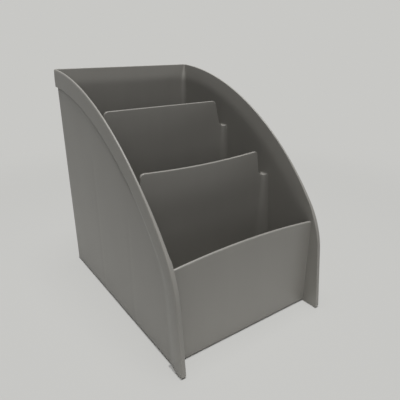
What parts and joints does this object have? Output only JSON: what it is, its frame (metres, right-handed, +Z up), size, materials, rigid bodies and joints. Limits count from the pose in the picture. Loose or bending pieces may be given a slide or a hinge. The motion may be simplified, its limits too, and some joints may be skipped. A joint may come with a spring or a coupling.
{
  "type": "cosmetic organizer",
  "caption": "Open desk organizer for cosmetics: stepped pockets between curved side walls with a raised rim band, notched dividers and short front feet.",
  "frame": {"origin": "on the surface that it stands on, in the middle of the overall box", "axes": "+Z up, +Y towards the high back wall, +X to the right seen from the front"},
  "size_m": [0.119, 0.1735, 0.1603],
  "materials": {
    "satin_plastic": "warm grey polypropylene, fine satin mould texture with a slight sheen at grazing angles"
  },
  "bodies": {
    "root": {"base_tray": "satin_plastic", "left_side_wall": "satin_plastic", "right_side_wall": "satin_plastic", "back_wall": "satin_plastic", "front_wall": "satin_plastic", "front_divider": "satin_plastic", "rear_divider": "satin_plastic"}
  },
  "joints": []
}
